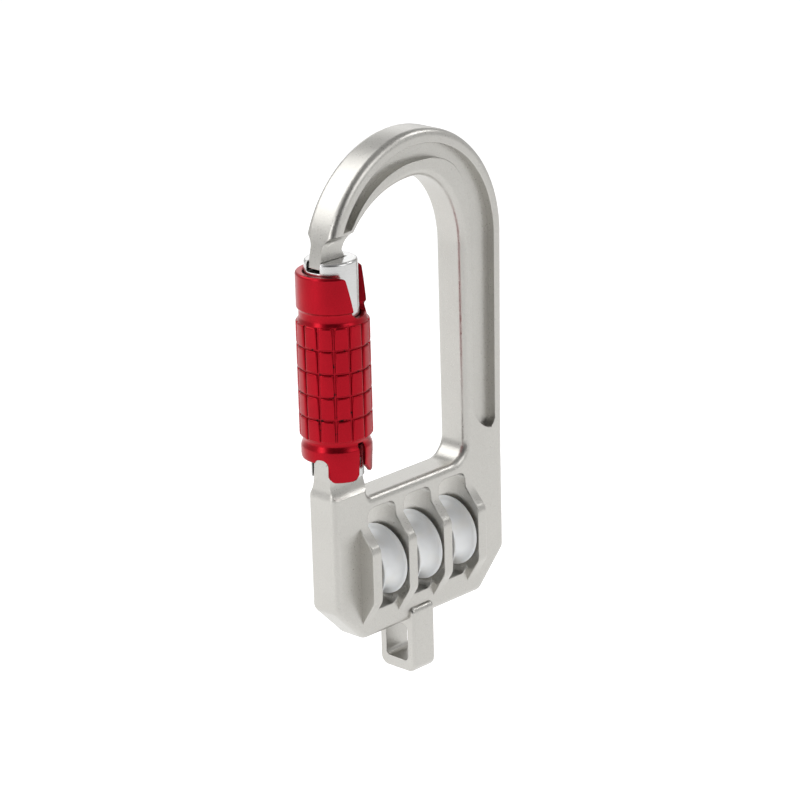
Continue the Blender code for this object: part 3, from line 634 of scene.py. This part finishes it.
def gate_shape(settings):
    neck_radius, cheek = gate_radius - 1.56 * mm, 3.9 * mm
    neck, top = neck_top - hinge_z, gate_top - hinge_z
    rim = settings.rim_round
    crown = arc((gate_radius - rim, top - rim), rim, 90, 0, 6)
    barrel = spun([(0, top)] + crown + [(gate_radius, neck), (neck_radius, neck), (neck_radius, cheek),
                                        (gate_radius, cheek), (gate_radius, -cheek), (0, -cheek)], 96, False)
    placed(barrel, Matrix.Translation((gate_x, 0, hinge_z)))
    reach = 2 * gate_radius
    nose_half = nose_thickness / 2 + fit_gap
    fork_half = tang_thickness / 2 + fit_gap
    nose_slot = block((gate_x - reach, -nose_half, -nose_depth - 0.6 * mm),
                      (nose_right + fit_gap, nose_half, nose_shelf))
    fork_slot = block((gate_x - reach, -fork_half, hinge_z - reach),
                      (gate_x + reach, fork_half, hinge_z + 6.0 * mm))
    pin_bore = rod(1.75 * mm, -reach, reach, along_y((gate_x, 0, hinge_z)))
    spring_bore = rod(2.3 * mm, hinge_z, hinge_z + 20 * mm, Matrix.Translation(gate_point), 32)
    return carved("gate", barrel, (), (nose_slot, fork_slot, spring_bore, pin_bore))


# Lock sleeve

def sleeve_profile(settings):
    """Down the outside over the rim, the knurled rows and the collar, and up the stepped bore."""
    plain = sleeve_radius - 0.25 * mm
    base = sleeve_radius - settings.pad_height
    neck = plain - 0.5 * mm
    bore, upper = 7.2 * mm, gate_radius + fit_gap
    rim_low = grid_top + 2.9 * mm
    outside = arc((plain - 0.6 * mm, sleeve_rim - 0.6 * mm), 0.6 * mm, 90, 0, 5)
    outside += arc((plain - 0.25 * mm, rim_low + 0.25 * mm), 0.25 * mm, 0, -60, 3)
    outside += [(neck + 0.05 * mm, rim_low - 0.35 * mm), (neck, rim_low - 0.7 * mm),
                (neck, grid_top + 0.9 * mm), (neck + 0.12 * mm, grid_top + 0.45 * mm), (base, grid_top)]
    rows = 2 * settings.rows
    outside += [(base, grid_top + (grid_bottom - grid_top) * i / rows) for i in range(1, rows)]
    outside += [(base, grid_bottom), (neck + 0.1 * mm, grid_bottom - 0.35 * mm),
                (neck, grid_bottom - 0.75 * mm), (neck + 0.04 * mm, grid_bottom - 1.3 * mm)]
    outside += [(plain - 0.12 * mm, grid_bottom - 2.1 * mm), (plain, grid_bottom - 2.5 * mm),
                (plain, collar_bottom + 0.8 * mm), (plain - 0.1 * mm, collar_bottom),
                (plain - 0.25 * mm, tongue_bottom + 0.4 * mm), (plain - 0.6 * mm, tongue_bottom)]
    inside = [(bore, tongue_bottom), (bore, neck_top), (upper, neck_top), (upper, sleeve_rim - 0.3 * mm),
              (upper + 0.3 * mm, sleeve_rim)]
    return outside + inside


def raise_pads(work, settings):
    """Lifts one rounded pad from each patch of the knurled band."""
    wide = 2 * pi / settings.columns
    tall = (grid_top - grid_bottom) / settings.rows
    pads = {}
    for face in work.faces:
        middle = face.calc_center_median() - gate_point
        out = Vector((middle.x, middle.y, 0))
        if not (grid_bottom < middle.z < grid_top) or out.length < sleeve_radius - 1 * mm:
            continue
        if face.normal.dot(out.normalized()) < 0.7:
            continue
        column = int(((atan2(out.y, out.x) + settings.turn) % (2 * pi)) / wide)
        row = int((grid_top - middle.z) / tall)
        pads.setdefault((column, row), []).append(face)
    rise = settings.pad_height
    pad_steps = ((settings.groove_width / 2, 0.0), (0.1 * mm, rise * 0.72),
                 (0.13 * mm, rise * 0.22), (0.2 * mm, rise * 0.06))
    for faces in pads.values():
        for thickness, depth in pad_steps:
            bmesh.ops.inset_region(work, faces=faces, thickness=thickness, depth=depth,
                                   use_boundary=True, use_even_offset=True)


def sector(start, end, low, high):
    """A pie-slice cutter about the gate's axis."""
    outline = [(gate_x, 0)] + arc((gate_x, 0), 2 * sleeve_radius, start, end, 24)
    return drawn_out(outline, low, high, "Z")


def faced(work, angle):
    """Turns a shape drawn out along -Y so that it faces an angle about the gate's axis."""
    return placed(work, Matrix.Translation(gate_point) @ Matrix.Rotation(radians(angle - 270), 4, 'Z'))


def sleeve_notch():
    low = sleeve_rim - 10.4 * mm
    above = sleeve_rim + 0.02 * mm
    outline = rounded([(-4.4 * mm, low, 2.5 * mm), (4.4 * mm, low, 2.5 * mm),
                       (6.3 * mm, above, 1.0 * mm), (8.0 * mm, above, 0),
                       (8.0 * mm, sleeve_rim + 1.5 * mm, 0), (-8.0 * mm, sleeve_rim + 1.5 * mm, 0),
                       (-8.0 * mm, above, 0), (-6.3 * mm, above, 1.0 * mm)], 8)
    return faced(drawn_out(outline, -2 * sleeve_radius, 0, "Y"), 297)


def gap_between(start, end, top, corner=1.6 * mm, foot=1.6 * mm):
    """A cutter between two tongues: rounded at its top, and flared over their rounded ends."""
    half = sleeve_radius * sin(radians(end - start) / 2)
    low = tongue_bottom
    outline = rounded([(-half, top, min(corner, half * 0.9)), (half, top, min(corner, half * 0.9)),
                       (half, low + foot, foot), (half + foot, low - 0.02 * mm, 0),
                       (half + foot, low - 2 * mm, 0), (-half - foot, low - 2 * mm, 0),
                       (-half - foot, low - 0.02 * mm, 0), (-half, low + foot, foot)], 8)
    return faced(drawn_out(outline, -2 * sleeve_radius, 0, "Y"), (start + end) / 2)


def leaf_end():
    """Rounds the short tongue to a leaf's tip."""
    low = tongue_bottom
    outline = rounded([(-4.5 * mm, low - 1 * mm, 0), (4.5 * mm, low - 1 * mm, 0),
                       (4.5 * mm, low + 4.2 * mm, 0), (3.2 * mm, low + 4.0 * mm, 2.0 * mm),
                       (1.0 * mm, low + 1.1 * mm, 0.9 * mm),
                       (-0.6 * mm, low + 1.1 * mm, 0.9 * mm), (-3.0 * mm, low + 3.4 * mm, 2.0 * mm),
                       (-4.5 * mm, low + 3.6 * mm, 0)], 8)
    return faced(drawn_out(outline, -2 * sleeve_radius, 0, "Y"), 301)


def sleeve_shape(settings):
    steps = settings.columns * 4
    work = spun(sleeve_profile(settings), steps, True)
    placed(work, Matrix.Translation(gate_point) @ Matrix.Rotation(-settings.turn, 4, 'Z'))
    raise_pads(work, settings)
    cutters = [sleeve_notch(), sector(325, 569, tongue_bottom - 1 * mm, collar_bottom),
               gap_between(264, 277, grid_bottom - 0.9 * mm, 0.6 * mm, 1.3 * mm),
               gap_between(184, 208, collar_bottom + 0.95 * mm, 1.5 * mm, 1.3 * mm), leaf_end()]
    return carved("sleeve", work, (), cutters)


# Sheaves, washers and fasteners

def sheave_shape(low, high, settings):
    half, flat = (high.x - low.x) / 2, 0.55 * mm
    bore, corner = 4.55 * mm, 0.25 * mm
    groove_half = half - flat
    profile = [(bore, half)] + arc((sheave_radius - corner, half - corner), corner, 90, 0, 4)
    for i in range(1, 24):
        angle = pi * i / 24
        profile.append((sheave_radius - settings.groove_depth * sin(angle), groove_half * cos(angle)))
    profile += arc((sheave_radius - corner, corner - half), corner, 0, -90, 4) + [(bore, -half)]
    return placed(spun(profile, 128, True), along_x(((low.x + high.x) / 2, 0, axle_z)))


def pin_shape():
    half, radius, dome = (PIN_HIGH.y - PIN_LOW.y) / 2, 1.5 * mm, 0.35 * mm
    end = arc((radius - dome, half - dome), dome, 90, 0, 4)
    profile = [(0, half)] + end + [(r, -y) for r, y in reversed(end)] + [(0, -half)]
    return placed(spun(profile, 48, False), along_y((gate_x, 0, hinge_z)))


def plug_shape(settings):
    half, radius = (PLUG_HIGH.x - PLUG_LOW.x) / 2, (PLUG_HIGH.y - PLUG_LOW.y) / 2
    edge = arc((radius - 0.4 * mm, half - 0.4 * mm), 0.4 * mm, 90, 0, 4)
    plug = spun([(0, half)] + edge + [(radius, -half), (0, -half)], 96, False)
    placed(plug, along_x(((PLUG_HIGH.x + PLUG_LOW.x) / 2, 0, axle_z)))
    hexagon = arc((0, axle_z), settings.plug_hex / sqrt(3), 0, 300, 5)
    socket = drawn_out(hexagon, plug_end - 3 * mm, plug_end + 2 * mm, "X")
    return carved("plug", plug, (), (socket,))


# Settings

def colour_setting(name, description, default):
    return FloatVectorProperty(name=name, description=description, subtype='COLOR', size=3,
                               min=0.0, max=1.0, default=default)


def length_setting(name, description, default):
    return FloatProperty(name=name, description=description, default=default, min=0.0,
                         unit='LENGTH', subtype='DISTANCE', precision=5)


class BodySettings(PropertyGroup):
    colour: colour_setting("Body colour", "Colour of the blasted alloy", (0.505, 0.495, 0.468))
    roughness: FloatProperty(name="Body roughness", description="Roughness of the blasted alloy",
                             default=0.33, min=0.0, max=1.0, subtype='FACTOR')
    edge_round: length_setting("Edge rounding", "Rounding along the body's rims", 1.85 * mm)
    becket_edge: length_setting("Becket edge", "Rounding along the becket's sides", 0.9 * mm)
    groove_depth: length_setting("Groove depth", "Depth of the groove in each face", 2.0 * mm)
    slot_edge: length_setting("Slot edge", "Rounding round each rope slot", 0.25 * mm)
    groove_edge: length_setting("Groove edge", "Rounding along the groove's rims", 0.25 * mm)
    ledge_edge: length_setting("Ledge edge", "Rounding along the ledge under the gate's hinge", 0.6 * mm)
    rib_edge: length_setting("Rib edge", "Rounding along each rib", 0.35 * mm)
    eye_edge: length_setting("Eye edge", "Rounding round the becket's eye", 0.3 * mm)


class GateSettings(PropertyGroup):
    colour: colour_setting("Gate colour", "Colour of the turned gate", (0.60, 0.60, 0.595))
    rim_round: length_setting("Rim rounding", "Rounding round the gate's top", 0.7 * mm)


class SleeveSettings(PropertyGroup):
    colour: colour_setting("Sleeve colour", "Colour of the anodised sleeve", (0.375, 0.004, 0.013))
    roughness: FloatProperty(name="Sleeve roughness", description="Roughness of the anodised sleeve",
                             default=0.30, min=0.0, max=1.0, subtype='FACTOR')
    columns: IntProperty(name="Pad columns", description="Knurled pads round the sleeve", default=14,
                         min=4, max=40)
    rows: IntProperty(name="Pad rows", description="Knurled pads down the sleeve", default=5, min=1, max=12)
    pad_height: length_setting("Pad height", "How far each pad stands out", 0.42 * mm)
    groove_width: length_setting("Pad groove", "Width of the groove's floor between pads", 0.34 * mm)
    turn: FloatProperty(name="Pad turn", description="Turn of the pads about the gate",
                        default=radians(6.5),
                        unit='ROTATION', subtype='ANGLE')


class SheaveSettings(PropertyGroup):
    colour: colour_setting("Sheave colour", "Colour of the acetal sheaves", (0.77, 0.78, 0.785))
    roughness: FloatProperty(name="Sheave roughness", description="Roughness of the acetal sheaves",
                             default=0.42, min=0.0, max=1.0, subtype='FACTOR')
    groove_depth: length_setting("Rope groove", "Depth of the rope groove", 2.5 * mm)


class FastenerSettings(PropertyGroup):
    colour: colour_setting("Steel colour", "Colour of the pins and washers", (0.55, 0.55, 0.55))
    plug_hex: length_setting("Socket width", "Width across the plug's hexagon socket", 4.0 * mm)


class StageSettings(PropertyGroup):
    floor_drop: length_setting("Floor drop", "How far the floor lies below the becket", 60 * mm)
    floor_colour: colour_setting("Floor colour", "Colour of the plain floor", (0.95, 0.95, 0.95))
    back_power: FloatProperty(name="Back light", description="Power of the large light above and behind",
                              default=4.2, min=0.0)
    side_power: FloatProperty(name="Side light", description="Power of the light on the gate's side",
                              default=1.9, min=0.0)
    edge_power: FloatProperty(name="Edge light", description="Power of the small light that picks out edges",
                              default=1.3, min=0.0)
    front_power: FloatProperty(name="Front light", description="Power of the light in front and above",
                               default=2.0, min=0.0)
    wall_power: FloatProperty(name="Wall light", description="Power of the low wide light behind the spine",
                              default=1.3, min=0.0)
    room_strength: FloatProperty(name="Room light", description="Strength of the even room light",
                                 default=0.78, min=0.0)
    lens: FloatProperty(name="Lens", description="Focal length of the camera in millimetres",
                        default=144.2, min=1.0)


# Operators

class PULLEY_OT_body(Operator):
    """Builds the one-piece body with its bow, ribs, rope slots and becket"""
    bl_idname = "pulley.body"
    bl_label = "Body"

    def execute(self, context):
        settings = context.scene.pulley_body
        work = body_shape(settings)
        alloy = satin_alloy("blasted_alloy", settings.colour, settings.roughness)
        finished("pulley_body", work, alloy, "frame", "body_alloy", "frame_body")
        return {'FINISHED'}


class PULLEY_OT_gate(Operator):
    """Builds the turned gate with its nose slot and fork"""
    bl_idname = "pulley.gate"
    bl_label = "Gate"

    def execute(self, context):
        settings = context.scene.pulley_gate
        work = gate_shape(settings)
        round_edges(work, sharp_edges(work, 40), 0.18 * mm, 2)
        metal = turned_metal("turned_alloy", settings.colour, 0.24)
        finished("gate_body", work, metal, "gate", "gate_alloy", "gate_barrel")
        return {'FINISHED'}


class PULLEY_OT_sleeve(Operator):
    """Builds the knurled lock sleeve with its notch and tongues"""
    bl_idname = "pulley.sleeve"
    bl_label = "Lock sleeve"

    def execute(self, context):
        settings = context.scene.pulley_sleeve
        work = sleeve_shape(settings)
        clear = sharp_edges(work, 40, lambda point: point.z > grid_top + 0.5 * mm
                            or point.z < grid_bottom - 0.6 * mm)
        round_edges(work, clear, 0.2 * mm, 2)
        finished("knurled_sleeve", work, red_anodised(settings), "sleeve", "red_anodised", "lock_sleeve")
        return {'FINISHED'}


class PULLEY_OT_sheaves(Operator):
    """Builds the three grooved sheaves"""
    bl_idname = "pulley.sheaves"
    bl_label = "Sheaves"

    def execute(self, context):
        settings = context.scene.pulley_sheaves
        acetal = turned_acetal(settings)
        bodies = ("sheave_left", "sheave_middle", "sheave_right")
        for i, (body, (low, high)) in enumerate(zip(bodies, SHEAVES), 1):
            work = sheave_shape(low, high, settings)
            finished(f"grooved_sheave_{i}", work, acetal, body, "white_acetal", f"sheave_{i}")
        return {'FINISHED'}


class PULLEY_OT_fasteners(Operator):
    """Builds the hinge pin and the axle's plug, and finishes the other metal parts"""
    bl_idname = "pulley.fasteners"
    bl_label = "Pins, plug and springs"

    def execute(self, context):
        settings = context.scene.pulley_fasteners
        steel = turned_metal("ground_steel", settings.colour, 0.24, axis="X")
        pin = turned_metal("pin_steel", settings.colour, 0.22, axis="Y")
        spring = turned_metal("spring_wire", (0.42, 0.42, 0.43), 0.30)
        bronze = turned_metal("oiled_bronze", (0.56, 0.38, 0.17), 0.34, axis="X")
        finished("hinge_pin", pin_shape(), pin, "frame", "steel", "gate_hinge_pin")
        plug = plug_shape(settings)
        round_edges(plug, sharp_edges(plug, 50), 0.12 * mm, 2)
        finished("socket_plug", plug, steel, "frame", "steel", "axle_plug")
        looks = {"steel": steel, "spring_steel": spring, "bronze": bronze}
        slots = {row["node"]: row["material_slot"] for row in frame["record"]["subparts"]}
        for name, node in frame["nodes"].items():
            if not node.hide_render and slots[name] in looks:
                node.data.materials.clear()
                node.data.materials.append(looks[slots[name]])
        return {'FINISHED'}


def aimed(thing, place, target):
    thing.location = place
    thing.rotation_mode = 'QUATERNION'
    thing.rotation_quaternion = (Vector(target) - Vector(place)).to_track_quat('-Z', 'Y')


def soft_light(name, place, target, width, height, power, colour=(1, 1, 1)):
    lamp = bpy.data.lights.new(name, 'AREA')
    lamp.shape = 'RECTANGLE'
    lamp.size, lamp.size_y = width, height
    lamp.energy = power
    lamp.color = colour
    thing = bpy.data.objects.new(name, lamp)
    bpy.context.scene.collection.objects.link(thing)
    aimed(thing, place, target)
    return thing


class PULLEY_OT_stage(Operator):
    """Sets up the plain floor, the soft lights and the camera"""
    bl_idname = "pulley.stage"
    bl_label = "Stage"

    def execute(self, context):
        settings = context.scene.pulley_stage
        scene = context.scene
        work = bmesh.new()
        bmesh.ops.create_grid(work, x_segments=1, y_segments=1, size=6.0)
        placed(work, Matrix.Translation((0, 0, becket_bottom - settings.floor_drop)))
        floor = as_object("floor", work)
        paper, _, shader = start_material("floor_paper", settings.floor_colour, 0.0, 0.9)
        shader.inputs["Specular IOR Level"].default_value = 0.0
        shader.inputs["Emission Color"].default_value = (1, 1, 1, 1)
        shader.inputs["Emission Strength"].default_value = floor_glow
        floor.data.materials.append(paper)
        world = bpy.data.worlds.new("room")
        world.use_nodes = True
        scene.world = world
        room = Tree(world.node_tree)
        back = world.node_tree.nodes["Background"]
        heading = room.add('ShaderNodeTexCoord').outputs["Generated"]
        parts = room.add('ShaderNodeSeparateXYZ', {0: heading})
        height = room.mapped(parts.outputs["Z"], -0.1, 0.9)
        shade = room.mixed(height, (1, 1, 1, 1), (0.5, 0.5, 0.5, 1))
        toward = room.add('ShaderNodeVectorMath', {0: heading, 1: (-0.69, -0.64, 0.34)},
                          operation='DOT_PRODUCT')
        unlit = room.mapped(toward.outputs["Value"], 0.70, 0.92)
        shade = room.mixed(unlit, shade, (0.16, 0.16, 0.16, 1))
        world.node_tree.links.new(shade, back.inputs["Color"])
        back.inputs["Strength"].default_value = settings.room_strength
        centre = (0, 0, -0.055)
        soft_light("back_light", (-0.28, 0.55, 0.62), centre, 0.8, 0.8, settings.back_power)
        soft_light("edge_light", (0.75, -0.38, 0.66), centre, 0.28, 0.28, settings.edge_power)
        soft_light("wall_light", (0.85, 0.85, 0.42), centre, 0.9, 0.5, settings.wall_power)
        soft_light("front_light", (0.15, -1.0, 0.5), centre, 0.6, 0.6, settings.front_power)
        soft_light("side_light", (-0.9, 0.1, 0.25), centre, 0.3, 0.7, settings.side_power)
        lens = bpy.data.cameras.new("camera")
        lens.lens, lens.sensor_width = settings.lens, 36.0
        lens.shift_y = -0.0014
        lens.clip_start, lens.clip_end = 0.01, 30.0
        camera = bpy.data.objects.new("camera", lens)
        scene.collection.objects.link(camera)
        right = Vector((0.6849, -0.7282, -0.0261))
        up = Vector((0.2498, 0.2009, 0.9472))
        turn = Matrix((right, up, right.cross(up))).transposed()
        camera.matrix_world = Matrix.Translation((-0.5137, -0.4914, 0.1859)) @ turn.to_4x4()
        scene.camera = camera
        scene.view_settings.view_transform = 'Standard'
        return {'FINISHED'}


class PULLEY_PT_panel(Panel):
    """Lists the pulley's pieces and their settings"""
    bl_idname = "PULLEY_PT_panel"
    bl_label = "Rope pulley"
    bl_space_type = 'VIEW_3D'
    bl_region_type = 'UI'
    bl_category = "Rope pulley"

    def draw(self, context):
        for operator, group in STEPS:
            box = self.layout.box()
            box.operator(operator.bl_idname, text=operator.bl_label)
            settings = getattr(context.scene, group)
            for name in settings.bl_rna.properties.keys():
                if name not in {"rna_type", "name"}:
                    box.prop(settings, name)


STEPS = (
    (PULLEY_OT_body, "pulley_body"),
    (PULLEY_OT_gate, "pulley_gate"),
    (PULLEY_OT_sleeve, "pulley_sleeve"),
    (PULLEY_OT_sheaves, "pulley_sheaves"),
    (PULLEY_OT_fasteners, "pulley_fasteners"),
    (PULLEY_OT_stage, "pulley_stage"),
)
GROUPS = {
    "pulley_body": BodySettings,
    "pulley_gate": GateSettings,
    "pulley_sleeve": SleeveSettings,
    "pulley_sheaves": SheaveSettings,
    "pulley_fasteners": FastenerSettings,
    "pulley_stage": StageSettings,
}


def register():
    for name, group in GROUPS.items():
        bpy.utils.register_class(group)
        setattr(bpy.types.Scene, name, PointerProperty(type=group))
    for operator, _ in STEPS:
        bpy.utils.register_class(operator)
    bpy.utils.register_class(PULLEY_PT_panel)


def unregister():
    bpy.utils.unregister_class(PULLEY_PT_panel)
    for operator, _ in reversed(STEPS):
        bpy.utils.unregister_class(operator)
    for name, group in reversed(list(GROUPS.items())):
        delattr(bpy.types.Scene, name)
        bpy.utils.unregister_class(group)


def main():
    register()
    for operator, _ in STEPS:
        family, action = operator.bl_idname.split(".")
        getattr(getattr(bpy.ops, family), action)()


if __name__ == "__main__":
    main()
